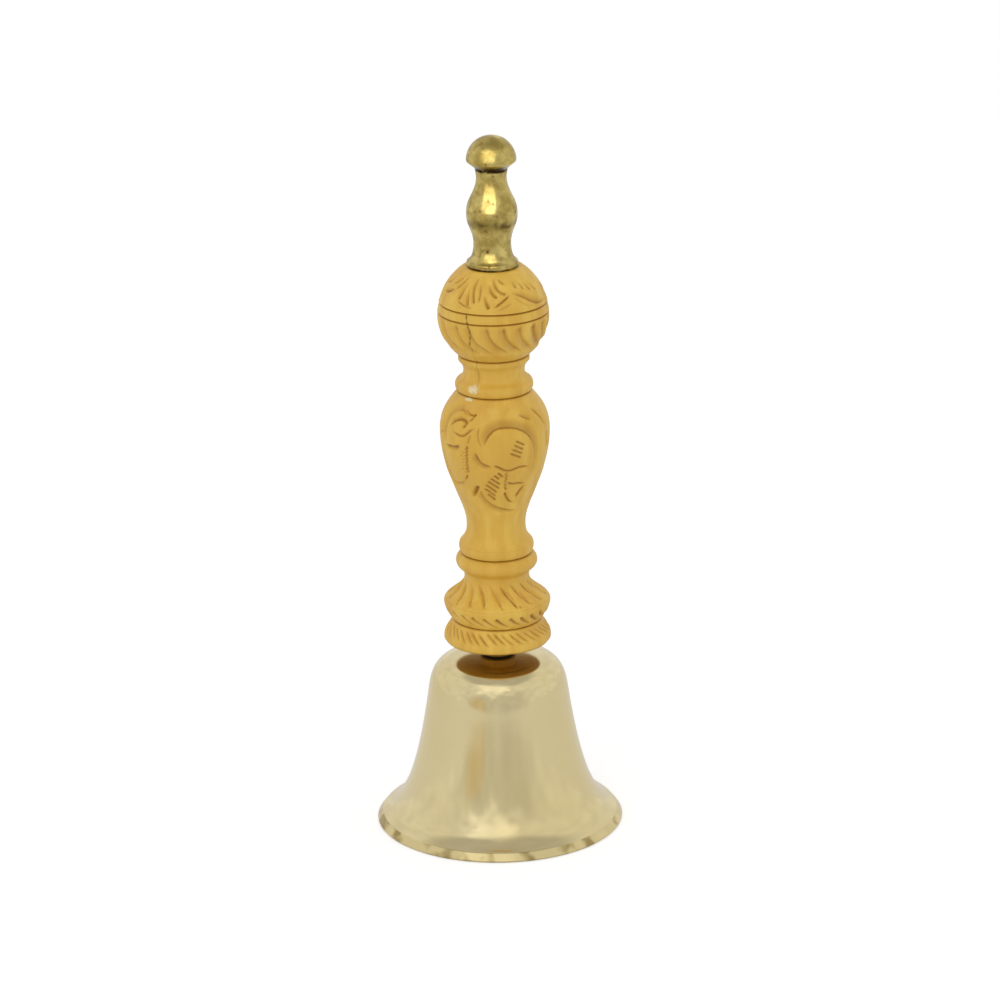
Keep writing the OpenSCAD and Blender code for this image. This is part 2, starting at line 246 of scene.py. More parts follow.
def cutInto(wood, line, depth, left, right=None, fade=(0.25, 0.25), bow=1.4):
    # one stroke of a gouge along a line of (degrees from the front, height) points.
    # across it the depth is 1 - (distance / width) ^ bow, with its own width on the left and on the right,
    # and along it depth and width fade to nothing over the given parts of its length
    right = left if right is None else right
    line = np.asarray(line, float)
    middle = np.interp(line[:, 1].mean(), wood["z"], wood["r"])
    perDegree = radians(1) * middle
    flat = np.column_stack([line[:, 0] * perDegree, np.interp(line[:, 1], wood["z"], wood["s"])])
    track = smoothThrough(flat, carving["step"])
    lead = np.gradient(track, axis=0)
    lead /= np.hypot(*lead.T)[:, None] + 1e-9
    t = np.linspace(0, 1, len(track))
    strength = (np.clip(t / max(fade[0], 1e-3), 0, 1) * np.clip((1 - t) / max(fade[1], 1e-3), 0, 1))
    strength **= carving["fadePower"]
    reach = max(left, right)
    rows = np.flatnonzero((wood["s"] > track[:, 1].min() - reach) & (wood["s"] < track[:, 1].max() + reach))
    centre = track[:, 0].mean() / perDegree
    away = wrapped(wood["angle"] - centre)
    spread = (np.ptp(track[:, 0]) / 2 + reach) / perDegree * 1.25
    columns = np.flatnonzero(np.abs(away) < spread)
    if not len(rows) or not len(columns):
        return
    dx = (away[columns][None, :, None] + centre) * perDegree - track[:, 0]
    dx = dx * (wood["r"][rows] / middle)[:, None, None]
    dy = wood["s"][rows][:, None, None] - track[:, 1]
    dx, dy = np.broadcast_arrays(dx, dy)
    gap = np.hypot(dx, dy)
    near = gap.argmin(axis=2)
    pick = near[:, :, None]
    gap = np.take_along_axis(gap, pick, 2)[:, :, 0]
    side = (lead[near, 0] * np.take_along_axis(dy, pick, 2)[:, :, 0]
            - lead[near, 1] * np.take_along_axis(dx, pick, 2)[:, :, 0])
    strong = strength[near]
    narrowest = carving["narrowest"]
    width = np.where(side > 0, left, right) * (narrowest + (1 - narrowest) * strong)
    cut = depth * strong * np.clip(1 - (gap / width) ** bow, 0, 1)
    block = np.ix_(rows, columns)
    wood["depth"][block] = np.maximum(wood["depth"][block], cut)


def zigzag(a, b, count, swing):
    # points from a to b that step to the left and right of the straight line by swing degrees
    t = np.linspace(0, 1, count)
    line = np.outer(1 - t, a) + np.outer(t, b)
    line[:, 0] += swing * np.where(np.arange(count) % 2, 1, -1)
    return line


def shifted(line, degreesOn, up=0.0):
    # the same line further round to the right, and higher
    return [(p[0] + degreesOn, p[1] + up) for p in line]


handleOutline = readOutline("handle")
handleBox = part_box("handle")
boreRadius = handleOutline[:, 0].min()


def cutter(wood, on):
    # cutInto for a motif that is drawn once and turned on by some degrees
    def cut(line, *more, **named):
        cutInto(wood, shifted(line, on), *more, **named)
    return cut


def woodBlank(low, high, dense):
    # the turned surface between two heights, rows close together where it will be carved
    outer = handleOutline[handleOutline[:, 0] > boreRadius + 0.1]
    first = int(np.argmin(outer[:, 1] + 0.01 * outer[:, 0]))
    outer = np.roll(outer, -first, axis=0)
    if outer[1, 1] > outer[-1, 1] + 50:
        outer = np.roll(outer[::-1], 1, axis=0)
    outer = outer[(outer[:, 1] > low - 0.02) & (outer[:, 1] < high + 0.02)]
    corner = np.flatnonzero(np.abs(turns(outer, closed=False)) > outlines["cornerTurn"])
    groove = outer[np.flatnonzero(turns(outer, closed=False) < -90)]
    stops = np.unique(np.concatenate([[0], corner, [len(outer) - 1]]))
    runs = []
    for a, b in zip(stops[:-1], stops[1:]):
        fine = dense[0] < outer[a:b + 1, 1].mean() < dense[1]
        runs.append(smoothThrough(outer[a:b + 1], carving["row"] if fine else carving["plainRow"])[:-1])
    path = np.vstack(runs + [outer[-1:]])
    s = np.concatenate([[0], np.cumsum(np.hypot(*np.diff(path, axis=0).T))])
    angle = np.arange(carving["columns"]) * 360 / carving["columns"]
    line = np.zeros(len(path))
    # painted shade: a dark line at the bottom of each turned groove and where the wood meets the metal
    joints = [p for p in outer[[0, -1]] if handleBox[0].z / mm + 2 < p[1] < handleBox[1].z / mm - 2]
    for bottom in [*groove, *joints]:
        gap = np.hypot(*(path - bottom).T)
        line = np.maximum(line, np.clip(1.3 - gap / carving["lineWidth"], 0, 1))
    return {
        "r": path[:, 0], "z": np.maximum.accumulate(path[:, 1]), "s": s, "angle": angle,
        "path": path, "turnedLineShade": line, "undersideShade": np.zeros(len(path)),
        **{key: np.zeros((len(path), len(angle))) for key in ("depth", "crack", "fresh")},
    }


def chipOff(wood, at, size, depth):
    # a torn chip at (degrees, height): an uneven oval of bare fibres, deeper where three waves add up
    across = wrapped(wood["angle"] - at[0]) * radians(1) * np.interp(at[1], wood["z"], wood["r"]) / size[0]
    along = ((wood["z"] - at[1]) / size[1])[:, None]
    torn = (np.sin(7 * across + 3 * along) + np.sin(4.3 * across - 9 * along + 1)
            + np.sin(13 * across + 5 * along))
    bare = np.clip(1.5 * (1 - across ** 2 - along ** 2) + 0.3 * torn, 0, 1)
    wood["fresh"] = np.maximum(wood["fresh"], bare)
    wood["depth"] += bare * depth * (0.6 + 0.25 * torn)


def softened(depth, times):
    # each point moves a quarter of the way to the mean of its four neighbours, so many times
    for _ in range(times):
        around4 = sum(np.roll(depth, way, axis) for way in (1, -1) for axis in (0, 1))
        depth = 0.75 * depth + 0.0625 * around4
    return depth


def carvedPiece(name, wood):
    # each point of the blank moves inwards along the outline's normal by the depth of the carving,
    # and the rows go on over the top, down the bore and back out underneath
    path, depth = wood["path"], wood["depth"]
    lead = np.gradient(path, axis=0)
    lead /= np.hypot(*lead.T)[:, None]
    depth = softened(depth, 2)
    hollow = depth - softened(depth, int(8 * (carving["crease"] / carving["row"]) ** 2 / 4))
    crease = np.clip(hollow / carving["creaseDepth"], 0, 1)
    a = np.radians(wood["angle"])
    wave = sum(size * np.sin(n * a + climb * wood["z"][:, None]) for size, n, climb in carving["waves"])
    into = depth + np.abs(wave) * (1 - wood["turnedLineShade"])[:, None]
    r = path[:, :1] - lead[:, 1:] * into
    z = path[:, 1:] + lead[:, :1] * into
    z = np.clip(z, path[0, 1], path[-1, 1])
    outer = np.stack([r * np.sin(a), -r * np.cos(a), z], axis=-1)
    ends = np.linspace([path[-1, 0], path[-1, 1]], [boreRadius, path[-1, 1]], 6)[1:]
    bore = np.linspace([boreRadius, path[-1, 1]], [boreRadius, path[0, 1]], 8)[1:]
    back = np.linspace([boreRadius, path[0, 1]], [path[0, 0], path[0, 1]], 6)[1:-1]
    inner = np.vstack([ends, bore, back])
    hidden = np.stack([inner[:, :1] * np.sin(a), -inner[:, :1] * np.cos(a), inner[:, 1:] + 0 * a], axis=-1)
    points = np.concatenate([outer, hidden])
    none = np.zeros((len(inner), len(a)))
    # painted shade with dirt: small hollows and the floors of deep cuts darken towards the recess colour
    cut = np.maximum(crease, carving["floorShadeAndDirt"] * np.clip(depth / carving["floorDepth"], 0, 1))
    cut = np.maximum(cut, np.maximum(wood["turnedLineShade"], wood["undersideShade"])[:, None])
    piece = meshFrom(name, points.reshape(-1, 3), gridFaces(len(points), len(a), True), carving["crisp"], {
        "cut": np.concatenate([cut, none]),
        "crack": np.concatenate([wood["crack"], none]),
        "fresh": np.concatenate([wood["fresh"], none]),
    })
    print("  " + name, 2 * len(piece.data.polygons), "triangles")
    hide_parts("handle")
    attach(piece, "bell_body")
    piece.data.materials.append(slotFinish["carved_wood"])
    return piece


# materials

def add(tree, kind, settings=None, inputs=None):
    # one node: its settings, and its inputs as plain values or as sockets to link from
    node = tree.nodes.new(kind)
    for key, value in (settings or {}).items():
        setattr(node, key, value)
    for key, value in (inputs or {}).items():
        if isinstance(value, bpy.types.NodeSocket):
            tree.links.new(value, node.inputs[key])
        else:
            node.inputs[key].default_value = value
    return node


def startMaterial(name):
    # an empty material of that name, its tree, and the place in the object's own metres
    old = bpy.data.materials.get(name)
    if old:
        bpy.data.materials.remove(old)
    material = bpy.data.materials.new(name)
    material.use_nodes = True
    tree = material.node_tree
    tree.nodes.clear()
    place = add(tree, "ShaderNodeTexCoord").outputs["Object"]
    return material, tree, place


def finishMaterial(tree, shader):
    # the shader becomes the surface
    add(tree, "ShaderNodeOutputMaterial", inputs={"Surface": shader.outputs["BSDF"]})


metre = 1000.0   # a pattern of n mm needs a noise scale of metre / n


def makeWood():
    # boxwood, turned, hand carved and waxed: a close pale yellow grain with soft long streaks,
    # cuts darkened by painted shade and by the wax and dust that collect in them, and a dull waxed gloss
    wood = {
        "pale": "#e1b94b", "streak": "#d5a63a", "warm": "#d0a036",     # the wood, its streaks and its patches
        "recess": "#8f5a14", "crack": "#5a3c14", "fresh": "#ead9a8",   # cuts darkened by painted shade and dirt, the drying crack, torn fibres
        "streakWidth": 1.6, "poreWidth": 0.25, "patch": 22,            # mm
        "squeeze": 0.12,         # the pattern along the grain, against across it
        "roughness": 0.5,
    }
    material, tree, place = startMaterial("turned and carved boxwood")
    along = add(tree, "ShaderNodeMapping", inputs={
        "Vector": place, "Scale": (1, 1, wood["squeeze"])}).outputs["Vector"]
    streaks = add(tree, "ShaderNodeTexNoise", inputs={
        "Vector": along, "Scale": metre / wood["streakWidth"] / 2, "Detail": 4.0, "Roughness": 0.55})
    patches = add(tree, "ShaderNodeTexNoise", inputs={
        "Vector": place, "Scale": metre / wood["patch"], "Detail": 2.0})
    pores = add(tree, "ShaderNodeTexNoise", inputs={
        "Vector": along, "Scale": metre / wood["poreWidth"] / 2, "Detail": 3.0})
    amount = add(tree, "ShaderNodeMapRange", inputs={
        "Value": streaks.outputs["Fac"], "From Min": 0.38, "From Max": 0.66})
    colour = add(tree, "ShaderNodeMix", {"data_type": "RGBA"}, {
        "Factor": amount.outputs["Result"], 6: linearColour(wood["pale"]), 7: linearColour(wood["streak"])})
    patchy = add(tree, "ShaderNodeMapRange", inputs={
        "Value": patches.outputs["Fac"], "From Min": 0.42, "From Max": 0.7, "To Max": 0.7})
    colour = add(tree, "ShaderNodeMix", {"data_type": "RGBA"}, {
        "Factor": patchy.outputs["Result"], 6: colour.outputs[2], 7: linearColour(wood["warm"])})
    # the cut attribute paints shade, with wax and dust, into hollows, cut floors, turned lines and the foot's
    # underside
    cut = add(tree, "ShaderNodeAttribute", {"attribute_name": "cut"})
    dark = add(tree, "ShaderNodeMapRange", inputs={
        "Value": cut.outputs["Fac"], "From Min": 0.1, "To Max": 0.8})
    colour = add(tree, "ShaderNodeMix", {"data_type": "RGBA"}, {
        "Factor": dark.outputs["Result"], 6: colour.outputs[2], 7: linearColour(wood["recess"])})
    crack = add(tree, "ShaderNodeAttribute", {"attribute_name": "crack"})
    colour = add(tree, "ShaderNodeMix", {"data_type": "RGBA"}, {
        "Factor": crack.outputs["Fac"], 6: colour.outputs[2], 7: linearColour(wood["crack"])})
    bare = add(tree, "ShaderNodeAttribute", {"attribute_name": "fresh"})
    colour = add(tree, "ShaderNodeMix", {"data_type": "RGBA"}, {
        "Factor": bare.outputs["Fac"], 6: colour.outputs[2], 7: linearColour(wood["fresh"])})
    grain = add(tree, "ShaderNodeMath", {"operation": "ADD"}, {
        0: pores.outputs["Fac"], 1: streaks.outputs["Fac"]})
    rough = add(tree, "ShaderNodeMapRange", inputs={
        "Value": grain.outputs["Value"], "From Min": 0.7, "From Max": 1.3,
        "To Min": wood["roughness"] - 0.08, "To Max": wood["roughness"] + 0.1})
    bump = add(tree, "ShaderNodeBump", inputs={
        "Height": grain.outputs["Value"], "Strength": 0.25, "Distance": 0.08 * mm})
    shader = add(tree, "ShaderNodeBsdfPrincipled", inputs={
        "Base Color": colour.outputs[2], "Roughness": rough.outputs["Result"], "IOR": 1.5,
        "Normal": bump.outputs["Normal"], "Subsurface Weight": 0.06, "Subsurface Radius": (0.6, 0.35, 0.12),
        "Subsurface Scale": 0.8 * mm, "Coat Weight": 0.08, "Coat Roughness": 0.35})
    finishMaterial(tree, shader)
    return material


def makeBellMetal():
    # cast bell metal, turned and mirror polished: a clear pale gold reflection that the buffing wheel
    # has left gently uneven, with fine rings from the lathe
    metal = {
        "colour": "#e7d9ae", "warm": "#dfca8e",          # the metal and its patches
        "band": "#dcca94", "bandReflection": "#ab945e",       # the band round the lip and its dark blocks, painted reflections of the studio
        "patch": 30, "stain": 3.5, "wave": 9, "ring": 0.35,   # mm
        "squeeze": 0.04,         # the rings' pattern round the bell, against along it
        "roughness": 0.15,
    }
    material, tree, place = startMaterial("polished cast bell metal")
    patches = add(tree, "ShaderNodeTexNoise", inputs={
        "Vector": place, "Scale": metre / metal["patch"], "Detail": 3.0})
    colour = add(tree, "ShaderNodeMix", {"data_type": "RGBA"}, {
        "Factor": patches.outputs["Fac"], 6: linearColour(metal["colour"]), 7: linearColour(metal["warm"])})
    # painted reflection: soft dark blocks on the band round the lip, where the studio is mirrored
    stains = add(tree, "ShaderNodeTexNoise", inputs={
        "Vector": place, "Scale": metre / metal["stain"] / 2, "Detail": 2.0})
    reflectionBlocks = add(tree, "ShaderNodeMapRange", inputs={
        "Value": stains.outputs["Fac"], "From Min": 0.5, "From Max": 0.62})
    bandColour = add(tree, "ShaderNodeMix", {"data_type": "RGBA"}, {
        "Factor": reflectionBlocks.outputs["Result"], 6: linearColour(metal["band"]),
        7: linearColour(metal["bandReflection"])})
    band = add(tree, "ShaderNodeAttribute", {"attribute_name": "band"})
    colour = add(tree, "ShaderNodeMix", {"data_type": "RGBA"}, {
        "Factor": band.outputs["Fac"], 6: colour.outputs[2], 7: bandColour.outputs[2]})
    waves = add(tree, "ShaderNodeTexNoise", inputs={
        "Vector": place, "Scale": metre / metal["wave"], "Detail": 1.0})
    flatten = add(tree, "ShaderNodeMapping", inputs={
        "Vector": place, "Scale": (metal["squeeze"], metal["squeeze"], 1)}).outputs["Vector"]
    rings = add(tree, "ShaderNodeTexNoise", inputs={
        "Vector": flatten, "Scale": metre / metal["ring"] / 2, "Detail": 2.0})
    rough = add(tree, "ShaderNodeMapRange", inputs={
        "Value": patches.outputs["Fac"], "From Min": 0.3, "From Max": 0.7,
        "To Min": metal["roughness"] - 0.03, "To Max": metal["roughness"] + 0.05})
    uneven = add(tree, "ShaderNodeBump", inputs={
        "Height": waves.outputs["Fac"], "Strength": 0.35, "Distance": 0.12 * mm})
    bump = add(tree, "ShaderNodeBump", inputs={
        "Height": rings.outputs["Fac"], "Strength": 0.02, "Distance": 0.02 * mm,
        "Normal": uneven.outputs["Normal"]})
    shader = add(tree, "ShaderNodeBsdfPrincipled", inputs={
        "Base Color": colour.outputs[2], "Metallic": 1.0, "Roughness": rough.outputs["Result"],
        "Normal": bump.outputs["Normal"]})
    finishMaterial(tree, shader)
    return material


def makeAgedBrass():
    # yellow brass, turned and handled: lathe rings under a brown and green tarnish in patches, dark pits,
    # and a half dull polish
    brass = {
        "clean": "#dcc77a", "tarnish": "#a38d47", "brown": "#8a6a3c",   # the metal and two kinds of tarnish
        "pit": "#4a3a1c", "grimeAndShade": "#3c2a12",            # pits, and dirt at the joints with painted shade at the cap's bottom
        "patch": 5.0, "stain": 3.2, "speck": 0.9, "ring": 0.25,   # mm
        "squeeze": 0.05,         # the rings' pattern round the piece, against along it
        "roughness": 0.2,
    }
    material, tree, place = startMaterial("turned and tarnished brass")
    patches = add(tree, "ShaderNodeTexNoise", inputs={
        "Vector": place, "Scale": metre / brass["patch"], "Detail": 5.0, "Roughness": 0.6})
    tarnish = add(tree, "ShaderNodeMapRange", inputs={
        "Value": patches.outputs["Fac"], "From Min": 0.36, "From Max": 0.6, "To Max": 0.92})
    colour = add(tree, "ShaderNodeMix", {"data_type": "RGBA"}, {
        "Factor": tarnish.outputs["Result"], 6: linearColour(brass["clean"]),
        7: linearColour(brass["tarnish"])})
    stains = add(tree, "ShaderNodeTexNoise", inputs={
        "Vector": place, "Scale": metre / brass["stain"], "Detail": 4.0, "Distortion": 0.6})
    brown = add(tree, "ShaderNodeMapRange", inputs={
        "Value": stains.outputs["Fac"], "From Min": 0.55, "From Max": 0.72, "To Max": 0.8})
    colour = add(tree, "ShaderNodeMix", {"data_type": "RGBA"}, {
        "Factor": brown.outputs["Result"], 6: colour.outputs[2], 7: linearColour(brass["brown"])})
    specks = add(tree, "ShaderNodeTexVoronoi", inputs={
        "Vector": place, "Scale": metre / brass["speck"] / 2, "Randomness": 1.0})
    pits = add(tree, "ShaderNodeMapRange", inputs={
        "Value": specks.outputs["Distance"], "From Min": 0.3, "From Max": 0.12, "To Max": 0.9})
    pitted = add(tree, "ShaderNodeMapRange", inputs={
        "Value": stains.outputs["Fac"], "From Min": 0.48, "From Max": 0.62})
    pits = add(tree, "ShaderNodeMath", {"operation": "MULTIPLY"}, {
        0: pits.outputs["Result"], 1: pitted.outputs["Result"]})
    colour = add(tree, "ShaderNodeMix", {"data_type": "RGBA"}, {
        "Factor": pits.outputs["Value"], 6: colour.outputs[2], 7: linearColour(brass["pit"])})
    # dirt at the sleeve's ends and painted shade at the cap's bottom, made uneven by the stains
    grimeAndShade = add(tree, "ShaderNodeAttribute", {"attribute_name": "grimeAndShade"})
    uneven = add(tree, "ShaderNodeMapRange", inputs={
        "Value": stains.outputs["Fac"], "From Min": 0.35, "From Max": 0.6, "To Min": 0.4, "To Max": 1.4})
    grimeAndShade = add(tree, "ShaderNodeMath", {"operation": "MULTIPLY", "use_clamp": True}, {
        0: grimeAndShade.outputs["Fac"], 1: uneven.outputs["Result"]})
    colour = add(tree, "ShaderNodeMix", {"data_type": "RGBA"}, {
        "Factor": grimeAndShade.outputs["Value"], 6: colour.outputs[2], 7: linearColour(brass["grimeAndShade"])})
    flatten = add(tree, "ShaderNodeMapping", inputs={
        "Vector": place, "Scale": (brass["squeeze"], brass["squeeze"], 1)}).outputs["Vector"]
    rings = add(tree, "ShaderNodeTexNoise", inputs={
        "Vector": flatten, "Scale": metre / brass["ring"] / 2, "Detail": 2.0})
    rough = add(tree, "ShaderNodeMapRange", inputs={
        "Value": patches.outputs["Fac"], "From Min": 0.35, "From Max": 0.7,
        "To Min": brass["roughness"] - 0.06, "To Max": brass["roughness"] + 0.2})
    dented = add(tree, "ShaderNodeBump", inputs={
        "Height": stains.outputs["Fac"], "Strength": 0.3, "Distance": 0.05 * mm})
    bump = add(tree, "ShaderNodeBump", inputs={
        "Height": rings.outputs["Fac"], "Strength": 0.2, "Distance": 0.03 * mm,
        "Normal": dented.outputs["Normal"]})
    shader = add(tree, "ShaderNodeBsdfPrincipled", inputs={
        "Base Color": colour.outputs[2], "Metallic": 1.0, "Roughness": rough.outputs["Result"],
        "Normal": bump.outputs["Normal"]})
    finishMaterial(tree, shader)
    return material


def makePlainMetal(name, finish):
    # a metal whose surface is a fine even noise: its colour moves between two tones in soft patches,
    # and its roughness with it
    material, tree, place = startMaterial(name)
    patches = add(tree, "ShaderNodeTexNoise", inputs={
        "Vector": place, "Scale": metre / finish["patch"], "Detail": 4.0})
    colour = add(tree, "ShaderNodeMix", {"data_type": "RGBA"}, {
        "Factor": patches.outputs["Fac"], 6: linearColour(finish["light"]), 7: linearColour(finish["dark"])})
    fine = add(tree, "ShaderNodeTexNoise", inputs={
        "Vector": place, "Scale": metre / finish["grit"] / 2, "Detail": 2.0})
    rough = add(tree, "ShaderNodeMapRange", inputs={
        "Value": patches.outputs["Fac"], "From Min": 0.3, "From Max": 0.7,
        "To Min": finish["roughness"] - 0.07, "To Max": finish["roughness"] + 0.1})
    bump = add(tree, "ShaderNodeBump", inputs={
        "Height": fine.outputs["Fac"], "Strength": finish["bump"], "Distance": 0.05 * mm})
    shader = add(tree, "ShaderNodeBsdfPrincipled", inputs={
        "Base Color": colour.outputs[2], "Metallic": 1.0, "Roughness": rough.outputs["Result"],
        "Normal": bump.outputs["Normal"]})
    finishMaterial(tree, shader)
    return material


print("materials")
boxwood = makeWood()
bellMetal = makeBellMetal()
agedBrass = makeAgedBrass()
# zinc plated steel, bright passivated: a cool grey with a faint crystalline mottle
zincSteel = makePlainMetal("zinc plated steel", {"light": "#b9b8b2", "dark": "#8d8c86", "patch": 2.2,
                                                 "grit": 0.12, "roughness": 0.34, "bump": 0.25})
# blackened steel: nearly black with a brown cast, low gloss
blackSteel = makePlainMetal("nearly black steel", {"light": "#3a332d", "dark": "#211c19", "patch": 1.8,
                                                  "grit": 0.15, "roughness": 0.45, "bump": 0.3})
# raw turned brass that nobody polishes: yellow, dulled by touch
clapperBrass = makePlainMetal("raw turned brass", {"light": "#c4a45a", "dark": "#9a7d3e", "patch": 3.5,
                                                   "grit": 0.2, "roughness": 0.36, "bump": 0.2})
slotFinish = {"bell_metal": bellMetal, "aged_brass": agedBrass, "clapper_brass": clapperBrass,
              "carved_wood": boxwood, "zinc_steel": zincSteel, "blackened_steel": blackSteel}
for row in frame["record"]["subparts"]:
    materials = frame["nodes"][row["node"]].data.materials
    for k in range(len(materials)):
        materials[k] = slotFinish[row["material_slot"]]


# bell and finial, turned afresh from their outlines

turnedParts = {
    # rows in mm, columns round it, times it is smoothed. band, the part of the lip with painted reflections:
    # mm within the lip's edge, and mm high.
    # grime and painted shade: mm at the bottom and at the top; the cap's wide band is painted shade. smudge:
    # mm above the widest place, mm high, strength
    "bell_shell": {"rows": 0.45, "columns": 288, "calm": 4, "band": (1.6, 2.6)},
    "finial_sleeve": {"rows": 0.22, "columns": 192, "calm": 1, "grimeAndShade": (0.5, 0.5),
                      "smudge": (-2.2, 1.1, 0.55)},
    "finial_cap": {"rows": 0.2, "columns": 192, "calm": 0, "grimeAndShade": (1.3, 0)},
}
finial = bpy.data.collections.new("finial")

print("turned metal")
for node, part in turnedParts.items():
    outline = readOutline(node)
    onAxis = outline[:, 0].min() < 0.01
    if onAxis:                                   # a domed part: its outline runs from pole to pole
        top = int(np.argmax(outline[:, 1]))
        outline = np.roll(outline, -top, axis=0)
        if outline[1, 1] < outline[-1, 1]:
            outline = np.roll(outline, -1, axis=0)
        outline = outline[::-1] if outline[0, 1] > outline[-1, 1] else outline
        outline = np.vstack([[0, outline[0, 1]], outline])
        outline[-1, 0] = 0
    path = refined(outline, part["rows"], not onAxis, part["calm"])
    radius, height = path.T
    # this mask holds the painted reflections of the bell's lip band, and dirt with painted shade on the
    # finial
    stain = np.zeros(len(path))
    if "band" in part:
        within, tall = part["band"]
        stain = np.clip((tall - height) / 0.2, 0, 1) * (radius > radius.max() - within)
    # dirt at the ends of the sleeve; the wide band at the bottom of the cap is painted shade
    for width, end in zip(part.get("grimeAndShade", ()), (height.min(), height.max())):
        if width:
            stain = np.maximum(stain, np.clip(1.5 - np.abs(height - end) / width, 0, 1))
    if "smudge" in part:
        above, tall, strength = part["smudge"]
        widest = height[np.argmax(np.where(height > height.mean(), radius, 0))]
        stain = np.maximum(stain, strength * np.exp(-((height - widest - above) / tall) ** 2))
    kind = "band" if "band" in part else "grimeAndShade"
    piece = turnedPiece(node + "_surface", path, part["columns"], not onAxis, {kind: stain})
    slotName = next(row["material_slot"] for row in frame["record"]["subparts"] if row["node"] == node)
    piece.data.materials.append(slotFinish[slotName])
    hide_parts(node)
    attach(piece, "bell_body")
    if slotName == "aged_brass":
        finial.objects.link(piece)


# the foot and the bowl of the handle

hand = np.random.default_rng(11)      # how far each repeated cut strays from the rule


def around(wood, count, start, line, depth, left, right, fade, bow=1.4, stray=(0.6, 0.15)):
    # the same cut repeated evenly all the way round, each a little off in place and depth
    for k in range(count):
        off = hand.normal(size=3)
        moved = shifted(line, start + 360 * k / count + stray[0] * off[0], stray[1] * off[1])
        cutInto(wood, moved, depth * (1 + 0.15 * off[2]), left, right, fade, bow)


def scribed(wood, height, depth, width):
    # a fine turned line all the way round
    around(wood, 1, 0, [(k, height) for k in range(-180, 181, 12)], depth, width, width, (0.001, 0.001),
           stray=(0, 0))


print("handle: foot and bowl")
foot = woodBlank(handleBox[0].z / mm, 80.4, (54.8, 75))
footCuts = {
    "strokes": 38, "commas": 26, "flames": 18,   # how many of each go round
    "ringRadius": 10, "ringWidth": 0.5, "ringDepth": 0.5,   # mm, the turner's mark underneath
    "ringMiddle": 20, "ringReach": 55,           # degrees, where that ring is and how far it goes
    "undersideDarkness": 0.8,                             # how dark the underside is painted, as painted shade
}
disc = foot["r"] > boreRadius * 2.5
discBottom = foot["path"][disc, 1].min()
# painted shade: the underside of the foot darkens towards the recess colour
foot["undersideShade"] = footCuts["undersideDarkness"] * (foot["path"][:, 1] < discBottom + 0.15)
aside = np.clip(1 - (wrapped(foot["angle"] - footCuts["ringMiddle"]) / footCuts["ringReach"]) ** 2, 0, 1)
ring = np.clip(1 - (np.abs(foot["r"] - footCuts["ringRadius"]) / footCuts["ringWidth"]) ** 2, 0, 1)
ring *= foot["path"][:, 1] < discBottom + 0.05
foot["crack"] += ring[:, None] * aside
foot["depth"] += footCuts["ringDepth"] * ring[:, None] * aside
around(foot, footCuts["strokes"], -4, [(-2, 60.3), (5, 58.8), (15, 56.6)], 0.5, 0.4, 0.55, (0.25, 0.35))
around(foot, footCuts["commas"], 2, [(-4, 65.3), (2, 63.6), (13, 62)], 0.9, 0.6, 0.85, (0.12, 0.6))
around(foot, footCuts["flames"], -3, [(-13, 73.2), (-2, 71), (5, 69.2), (8, 67.6)],
       0.7, 0.5, 0.8, (0.35, 0.2))
around(foot, footCuts["flames"], 3, [(-11, 72.4), (-3, 70.4), (2.5, 68.7)], 0.5, 0.4, 0.5, (0.4, 0.25))
around(foot, footCuts["flames"], 5, [(0, 68.3), (2, 67.8)], 0.4, 0.5, 0.5, (0.2, 0.2))
scribed(foot, 66.9, 0.16, 0.22)
carvedPiece("handle_foot", foot)


# the vase: two leaf motifs, carved twice round it

print("handle: vase")
vase = woodBlank(80.4, 128.0, (89, 127))


